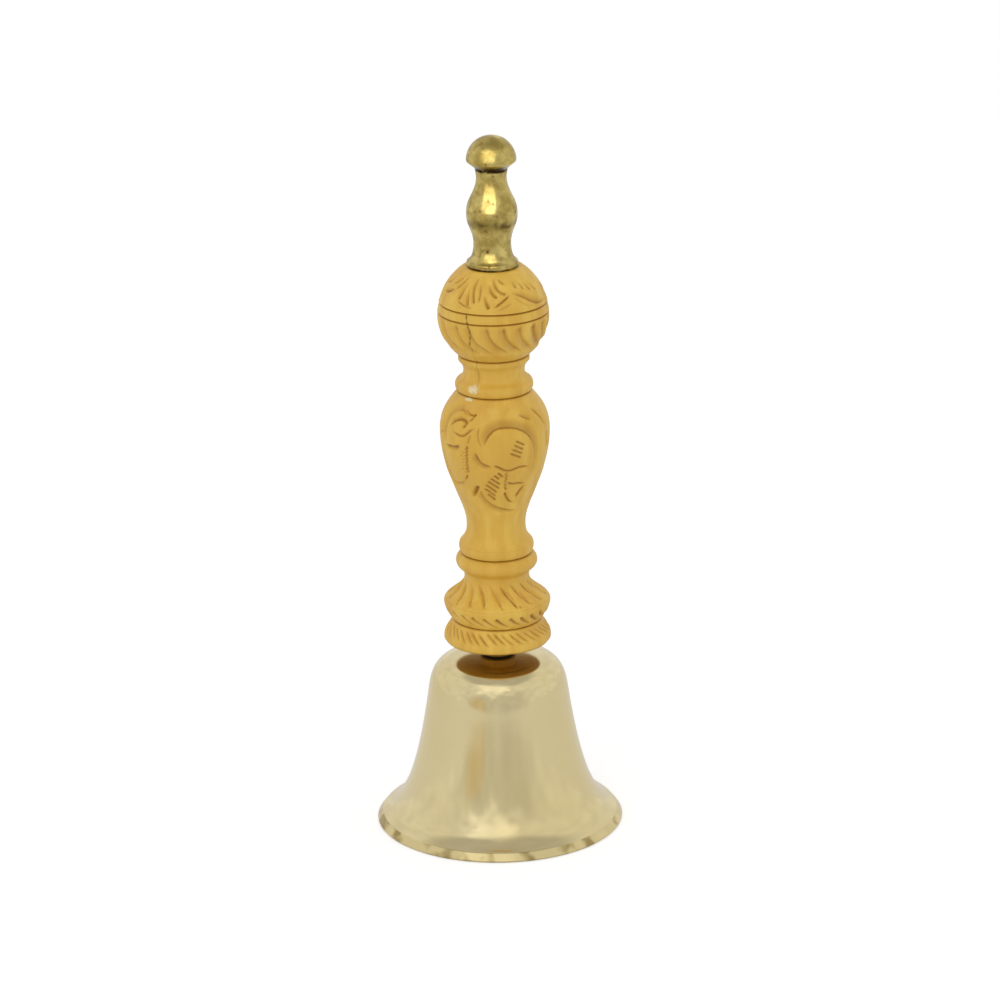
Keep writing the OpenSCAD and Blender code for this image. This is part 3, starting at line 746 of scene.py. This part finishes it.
def rightLeaf(cut):
    # a lobe under a sunk crescent, a curled tip on its left and a hatched second leaf below
    cut([(-11, 115.8), (-8.5, 118), (-5, 119.4), (0, 120.6), (8, 121.1), (18, 121), (27, 120.3), (36, 118.8),
         (42.5, 116.6), (46, 114), (47.5, 111), (47, 107.5), (45, 104)],
        1.25, 2.8, 0.25, fade=(0.1, 0.4), bow=1.9)
    cut([(-17, 121.6), (-18.5, 119.5), (-17.5, 117.4), (-13, 115.2)], 0.5, 0.6, 0.35)
    cut([(-13.5, 119.8), (-14, 117.8), (-12, 115.6)], 0.45, 0.5, 0.3)
    for k in range(4):                                   # short hatches in the lobe
        cut([(21.5 - 2.2 * k, 117.3 - 1.15 * k), (33 - 1.2 * k, 115.5 - 1.2 * k)],
            0.7, 0.4, 0.4, fade=(0.25, 0.12))
    cut([(-20.5, 114), (-18, 111.8), (-14, 110.7), (-9, 110.2), (-4.5, 109.8)],
        1.25, 0.25, 1.9, fade=(0.3, 0.3), bow=1.7)
    cut([(-2, 110.4), (6, 109.3), (13, 108.5), (19, 108.6), (29, 109.2), (41, 108.7)],
        0.8, 0.35, 0.7, fade=(0.1, 0.2))
    for x, top, end, low in ((3, 107.9, 9, 106.4), (-1, 107, 4.5, 105.8), (-5.5, 106.1, 5.5, 104.1),
                             (-9, 105.2, 5, 102.7), (-12, 104.1, 2, 101.4), (-13.5, 102.7, 0, 100.2),
                             (-10.5, 100.9, 0, 98.9)):
        cut([(x - 0.8, top + 0.1), (end, low)], 0.75, 0.42, 0.42, fade=(0.12, 0.12))
    cut(zigzag((12.7, 108.2), (12.3, 102.2), 13, 1.1), 0.6, 0.36, 0.36, fade=(0.02, 0.02))
    cut([(12, 101.6), (16, 99.6), (21, 98.3), (28, 97.7)], 0.75, 0.35, 0.7, fade=(0.1, 0.3))
    cut([(14.5, 104.7), (22, 104.1), (31, 104), (40, 103.4)], 0.85, 0.3, 0.8, fade=(0.1, 0.35))
    cut([(29.5, 99.3), (35, 101.2), (39.5, 103.2)], 0.9, 0.95, 0.5, fade=(0.2, 0.4))
    cut([(-20, 102.2), (-17, 99.7), (-11.5, 98.2), (-4.5, 97.2), (4, 96.4), (13, 95.8), (21, 95.4),
         (33, 95.2)],
        1.1, 0.3, 1.9, fade=(0.2, 0.35), bow=1.7)
    cut([(28, 124), (37, 123.1), (46, 121.8)], 0.8, 1.9, 0.3, fade=(0.4, 0.3))
    cut([(-21.5, 103.6), (-33.5, 99.3)], 1.2, 0.85, 0.85, fade=(0.2, 0.35))   # the notch between the leaves
    cut([(50, 125), (59, 122.6), (67, 119)], 0.9, 0.9, 0.35, fade=(0.3, 0.4))        # behind the lobe
    cut([(69, 117.5), (74, 112.5)], 1.2, 0.8, 0.8, fade=(0.3, 0.2))
    cut([(80, 111.5), (85, 105.5)], 1.5, 1.0, 1.0, fade=(0.3, 0.2))
    cut([(74, 97.5), (84, 95)], 1.2, 0.9, 0.9, fade=(0.3, 0.3))


def leftLeaf(cut):
    # a big arch with a curled end, a hook inside it, and a lobed leaf with a stitched edge below
    cut([(-62, 114.7), (-63, 118), (-62, 120.5), (-59, 122.7), (-53, 124.3), (-45, 124.9), (-37, 124.3),
         (-30, 123.8)], 1.25, 3.0, 0.25, fade=(0.2, 0.5), bow=1.9)
    cut([(-45, 125.4), (-37, 125), (-30, 124.2), (-25, 124.2)], 0.7, 0.45, 0.4, fade=(0.3, 0.05))
    cut([(-25.5, 124.3), (-23.5, 124)], 1.1, 0.65, 0.65, fade=(0.05, 0.05), bow=2)
    cut([(-25, 123.8), (-29, 122.8), (-34, 122)], 0.6, 0.4, 0.4, fade=(0.1, 0.5))
    cut([(-55.5, 119.9), (-52.5, 121), (-46, 122.2), (-39.5, 122.5), (-34.5, 121.9), (-34, 121.4)],
        0.95, 1.1, 0.3, fade=(0.3, 0.05))
    cut([(-34, 121.6), (-35.5, 121), (-38.5, 120.6)], 0.8, 0.5, 0.3, fade=(0.1, 0.5))
    cut([(-51, 119), (-45, 118.5), (-39, 118.2), (-33.5, 118.7), (-28, 120), (-20.5, 121)], 0.65, 0.35, 0.55,
        fade=(0.2, 0.3))
    cut([(-64, 114.3), (-54, 114.4), (-46.5, 114.7), (-41, 115.6)], 1.1, 0.25, 1.5, fade=(0.2, 0.25), bow=1.7)
    cut([(-26, 119.3), (-28.5, 117.5), (-30.5, 115.8)], 0.45, 0.3, 0.3)
    cut(zigzag((-31.5, 115.5), (-33.5, 107.4), 17, 1.2), 0.7, 0.38, 0.38, fade=(0.02, 0.02))
    for k in range(7):                                   # stipple beside the stitched edge
        cut([(-37.5 - 2 * (k % 2), 113.7 - k), (-35.2 - 2 * (k % 2), 113.1 - k)], 0.4, 0.4, 0.4)
    cut([(-33.6, 107), (-36, 105.6), (-41, 104.7)], 0.6, 0.3, 0.5, fade=(0.2, 0.3))
    cut([(-79, 112.5), (-77, 108), (-71, 104.6), (-60, 103.2), (-48, 103.4), (-38, 105)], 0.8, 0.3, 1.5,
        fade=(0.25, 0.3))
    for k in range(6):                                   # hatches down the left side
        cut([(-79 + 1.2 * k, 112.6 - 1.35 * k), (-69 + 1.2 * k, 111 - 1.35 * k)], 0.5, 0.33, 0.33)
    cut([(-80, 116.6), (-72, 117.6), (-66, 119.5)], 0.5, 0.4, 0.4)
    cut([(-92, 99.7), (-81, 103.2)], 1.0, 0.6, 0.6, fade=(0.4, 0.25))
    cut([(-88, 121.5), (-94, 118), (-95, 112), (-92, 107.5)], 0.8, 0.5, 1.3, fade=(0.3, 0.3))


for on in (0, 180):
    rightLeaf(cutter(vase, on))
    leftLeaf(cutter(vase, on))
scribed(vase, 83.3, 0.2, 0.25)
chipOff(vase, (-42, 127.5), (1.7, 0.45), 0.25)
carvedPiece("handle_vase", vase)


# the ball: fans on top, slanted flutes below, and the drying crack

print("handle: ball")
ball = woodBlank(128.0, handleBox[1].z / mm, (139, 164))


def fans(cut):
    # scallops that hang from the finial, each with wedge cuts that widen downwards
    cut([(-45, 156.6), (-35, 155.6), (-23, 155.2)], 0.6, 0.5, 0.25, fade=(0.2, 0.3))
    cut([(-37, 161.6), (-40, 159.2), (-43.5, 156.8)], 0.7, 0.5, 0.9, fade=(0.8, 0.05))
    cut([(-31.5, 160.6), (-31.5, 158.2), (-30, 155.6)], 0.7, 0.7, 0.7, fade=(0.8, 0.05))
    cut([(-21, 163), (-26, 161), (-25, 158.6), (-22, 156.2)], 0.75, 0.6, 0.75, fade=(0.45, 0.1))
    cut([(-18, 161.6), (-16, 159.5), (-17, 156.5)], 0.5, 0.4, 0.5, fade=(0.4, 0.2))
    cut([(-11.5, 158.8), (-8.5, 157), (-5, 155.2)], 0.8, 0.85, 0.6, fade=(0.7, 0.05))
    cut([(-5, 161.4), (-1.5, 159.4), (6, 157.9)], 0.7, 0.5, 0.75, fade=(0.5, 0.1))
    cut([(0.5, 162.8), (3.5, 161), (10, 159.4), (18, 158.7)], 0.7, 0.5, 0.7, fade=(0.4, 0.1))
    cut([(9, 162.6), (13, 161.6), (19, 161.1)], 0.55, 0.4, 0.5, fade=(0.3, 0.3))
    cut([(21, 158.6), (11, 157.1), (0, 155.4)], 0.75, 0.55, 0.3, fade=(0.2, 0.25))
    cut([(4, 154.6), (14, 155.6), (23, 156.4)], 0.35, 0.6, 0.6)
    cut([(23, 158.8), (34, 158), (46, 156.4), (58, 155), (76, 154.8)], 0.95, 1.5, 0.35, fade=(0.3, 0.3))
    cut([(24, 158.2), (35, 156.2), (45, 154.6)], 0.25, 0.3, 0.5)
    for k in range(4):                                   # small wedges of the right fan
        cut([(29 + 9 * k, 161.8 - 0.3 * k), (33 + 10.5 * k, 159.9 - 0.6 * k)],
            0.5, 0.45, 0.6, fade=(0.7, 0.1))
    cut([(-41, 162.7), (-47, 160.8), (-53.5, 159)], 0.7, 0.4, 0.6, fade=(0.4, 0.2))
    cut([(-49, 163), (-56, 161.2), (-64, 160)], 0.6, 0.4, 0.5, fade=(0.4, 0.2))
    cut([(-56, 159.2), (-66, 158), (-78, 157.5)], 0.9, 0.5, 0.9, fade=(0.3, 0.3))
    cut([(-68, 161.8), (-76, 160.2), (-86, 159.4)], 0.6, 0.5, 0.6, fade=(0.4, 0.2))
    cut([(-11, 154.6), (-10, 154.6)], 0.9, 0.5, 0.5, fade=(0.02, 0.02), bow=2)
    cut([(-40, 154.9), (-37, 155.3)], 0.35, 0.3, 0.3)
    cut([(84, 159.6), (92, 157.2), (100, 155.6)], 0.7, 0.5, 0.9, fade=(0.6, 0.1))


for on in (0, 180):
    fans(cutter(ball, on))
around(ball, 20, -61, [(0, 150.2), (0.8, 147.8), (5, 145.4), (13, 143.4), (26, 141.6)], 0.95, 0.8, 2.3,
       (0.12, 0.3), 1.3, (0.9, 0.1))

crackLine = [(-30.5, 153.6), (-28.5, 151.6), (-27, 149.2), (-26.3, 147), (-27.5, 144.3), (-27, 141.6),
             (-28.5, 138), (-29.5, 135.5), (-29, 133.3), (-28.5, 131.4)]
crackWood = dict(ball, depth=ball["crack"])
cutInto(crackWood, crackLine[:6], 1.0, 0.28, 0.28, fade=(0.02, 0.1), bow=2)
cutInto(crackWood, crackLine[5:], 0.45, 0.16, 0.16, fade=(0.2, 0.02), bow=2)
dashes = 0.5 + 0.5 * np.sin(ball["s"] * 2 * pi / 1.7)
ball["crack"] *= np.where(ball["z"] > 141.5, 0.35 + 0.65 * dashes, 1)[:, None]
ball["depth"] = np.maximum(ball["depth"], 0.35 * ball["crack"])
chipOff(ball, (-34, 130.6), (1.9, 1.3), 0.5)
carvedPiece("handle_ball", ball)


# studio

studio = {
    "floorSides": (-1.2, -0.4, 1.2, 2.0),        # left, near, right and far edge in m
    "paper": "#dedede", "paperGlow": (0.12, 0.42),   # glow of the floor for light, and for the camera
    "cameraFrom": (0, -1.2, 0.50937), "cameraPitch": 70.964, "roll": 0.8,   # m and degrees
    "lens": 163.4, "sensor": 36, "shift": 0.0042,    # mm, mm, part of the picture's width
    "white": 0.84, "grey": 0.66, "zenith": 0.55,     # brightness of the room around, low in front, overhead
    "blotch": 0.22, "clutter": (0.9, 1.06),          # how uneven the edges and the tones of the room are
    "glowWay": (-0.1, -0.72, 0.62), "glow": 0.33,
    "warmWay": (-0.56, -0.83, -0.03), "warm": "#ffefd0",
}

print("studio")
floorMesh = bpy.data.meshes.new("floor")
left, near, right, far = studio["floorSides"]
floorCorners = [(left, near, 0), (right, near, 0), (right, far, 0), (left, far, 0)]
floorMesh.from_pydata(floorCorners, [], [(0, 1, 2, 3)])
floor = bpy.data.objects.new("floor", floorMesh)
scene.collection.objects.link(floor)
material, tree, _ = startMaterial("white table paper")
seen = add(tree, "ShaderNodeLightPath").outputs["Is Camera Ray"]
glow = add(tree, "ShaderNodeMapRange", inputs={
    "Value": seen, "To Min": studio["paperGlow"][0], "To Max": studio["paperGlow"][1]})
shader = add(tree, "ShaderNodeBsdfPrincipled", inputs={
    "Base Color": linearColour(studio["paper"]), "Roughness": 0.8, "Emission Color": (1, 1, 1, 1),
    "Emission Strength": glow.outputs["Result"]})
# clear from below, so that the inside of the bell can be looked at
below = add(tree, "ShaderNodeNewGeometry").outputs["Backfacing"]
clear = add(tree, "ShaderNodeBsdfTransparent").outputs["BSDF"]
paper = add(tree, "ShaderNodeMixShader", inputs={0: below, 1: shader.outputs["BSDF"], 2: clear})
add(tree, "ShaderNodeOutputMaterial", inputs={"Surface": paper.outputs["Shader"]})
floorMesh.materials.append(material)

world = bpy.data.worlds.new("studio")
scene.world = world
world.use_nodes = True
tree = world.node_tree
tree.nodes.clear()
# a white room whose tone changes with the direction: uneven and greyer low down on the side of the camera
# and straight overhead, white to the sides and behind; the camera itself sees white
way = add(tree, "ShaderNodeTexCoord").outputs["Generated"]
axes = add(tree, "ShaderNodeSeparateXYZ", inputs={"Vector": way})
blotch = add(tree, "ShaderNodeTexNoise", inputs={"Vector": way, "Scale": 4.5, "Detail": 3.0})
uneven = add(tree, "ShaderNodeMapRange", inputs={
    "Value": blotch.outputs["Fac"], "From Min": 0.3, "From Max": 0.7, "To Min": -studio["blotch"],
    "To Max": studio["blotch"]})
height = add(tree, "ShaderNodeMath", {"operation": "ADD"}, {
    0: axes.outputs["Z"], 1: uneven.outputs["Result"]})
low = add(tree, "ShaderNodeMapRange", {"interpolation_type": "SMOOTHSTEP"}, {
    "Value": height.outputs["Value"], "From Min": 0.75, "From Max": 0.3})
frontal = add(tree, "ShaderNodeMapRange", {"interpolation_type": "SMOOTHSTEP"}, {
    "Value": axes.outputs["Y"], "From Min": -0.35, "From Max": -0.95})
lowFront = add(tree, "ShaderNodeMath", {"operation": "MULTIPLY"}, {
    0: low.outputs["Result"], 1: frontal.outputs["Result"]})
light = add(tree, "ShaderNodeMapRange", inputs={
    "Value": lowFront.outputs["Value"], "To Min": studio["white"], "To Max": studio["grey"]})
high = add(tree, "ShaderNodeMapRange", {"interpolation_type": "SMOOTHSTEP"}, {
    "Value": axes.outputs["Z"], "From Min": 0.76, "From Max": 0.88})
light = add(tree, "ShaderNodeMix", inputs={
    0: high.outputs["Result"], 2: light.outputs["Result"], 3: studio["zenith"]})
toGlow = add(tree, "ShaderNodeVectorMath", {"operation": "DOT_PRODUCT"}, {
    0: way, 1: tuple(Vector(studio["glowWay"]).normalized())})
nearGlow = add(tree, "ShaderNodeMath", {"operation": "MULTIPLY_ADD"}, {
    0: uneven.outputs["Result"], 1: 0.35, 2: toGlow.outputs["Value"]})
glow = add(tree, "ShaderNodeMapRange", {"interpolation_type": "SMOOTHSTEP"}, {
    "Value": nearGlow.outputs["Value"], "From Min": 0.86, "From Max": 0.98, "To Max": studio["glow"]})
light = add(tree, "ShaderNodeMath", {"operation": "ADD"}, {0: light.outputs[0], 1: glow.outputs["Result"]})
clutter = add(tree, "ShaderNodeTexNoise", inputs={"Vector": way, "Scale": 6.5, "Detail": 2.0})
clutter = add(tree, "ShaderNodeMapRange", inputs={
    "Value": clutter.outputs["Fac"], "From Min": 0.35, "From Max": 0.65, "To Min": studio["clutter"][0],
    "To Max": studio["clutter"][1]})
light = add(tree, "ShaderNodeMath", {"operation": "MULTIPLY"}, {
    0: light.outputs["Value"], 1: clutter.outputs["Result"]})
seen = add(tree, "ShaderNodeLightPath").outputs["Is Camera Ray"]
light = add(tree, "ShaderNodeMath", {"operation": "MAXIMUM"}, {0: light.outputs["Value"], 1: seen})
# something warm stands to the left of the camera at table height
toWarm = add(tree, "ShaderNodeVectorMath", {"operation": "DOT_PRODUCT"}, {
    0: way, 1: tuple(Vector(studio["warmWay"]).normalized())})
warmth = add(tree, "ShaderNodeMapRange", {"interpolation_type": "SMOOTHSTEP"}, {
    "Value": toWarm.outputs["Value"], "From Min": 0.95, "From Max": 1.0})
warmth = add(tree, "ShaderNodeMath", {"operation": "SUBTRACT", "use_clamp": True}, {
    0: warmth.outputs["Result"], 1: seen})
tint = add(tree, "ShaderNodeMix", {"data_type": "RGBA"}, {
    "Factor": warmth.outputs["Value"], 6: (1, 1, 1, 1), 7: linearColour(studio["warm"])})
background = add(tree, "ShaderNodeBackground", inputs={
    "Color": tint.outputs[2], "Strength": light.outputs["Value"]})
add(tree, "ShaderNodeOutputWorld", inputs={"Surface": background.outputs["Background"]})


def softBox(name, place, aim, size, power, mirrored=False):
    # a rectangular lamp; only a mirrored one shows in polished metal
    lamp = bpy.data.lights.new(name, "AREA")
    lamp.shape = "RECTANGLE"
    lamp.size, lamp.size_y = size
    lamp.energy = power
    box = bpy.data.objects.new(name, lamp)
    box.location = place
    box.visible_glossy = mirrored
    scene.collection.objects.link(box)
    box.rotation_euler = (Vector(aim) - Vector(place)).to_track_quat("-Z", "Y").to_euler()
    return box


# name, place and aim in m, sides in m, watts
softBox("key box", (-0.28, -1.15, 0.95), (0, 0, 0.14), (1.55, 1.2), 4.2)
softBox("top box", (0.1, 0.1, 1.3), (0, 0, 0.1), (0.7, 0.7), 0.8)
finialBox = softBox("finial box", (-0.3, -1.1, 0.85), (0, 0, 0.18), (1.6, 1.4), 10.0, True)
finialBox.light_linking.receiver_collection = finial     # this one lights the finial alone

cameraData = bpy.data.cameras.new("camera")
cameraData.lens = studio["lens"]
cameraData.sensor_width = studio["sensor"]
cameraData.shift_x = studio["shift"]
camera = bpy.data.objects.new("camera", cameraData)
camera.location = studio["cameraFrom"]
pitch = Matrix.Rotation(radians(studio["cameraPitch"]), 3, "X")
camera.rotation_euler = (pitch @ Matrix.Rotation(radians(-studio["roll"]), 3, "Z")).to_euler()
scene.collection.objects.link(camera)
scene.camera = camera
scene.view_settings.view_transform = "Standard"

print("done")
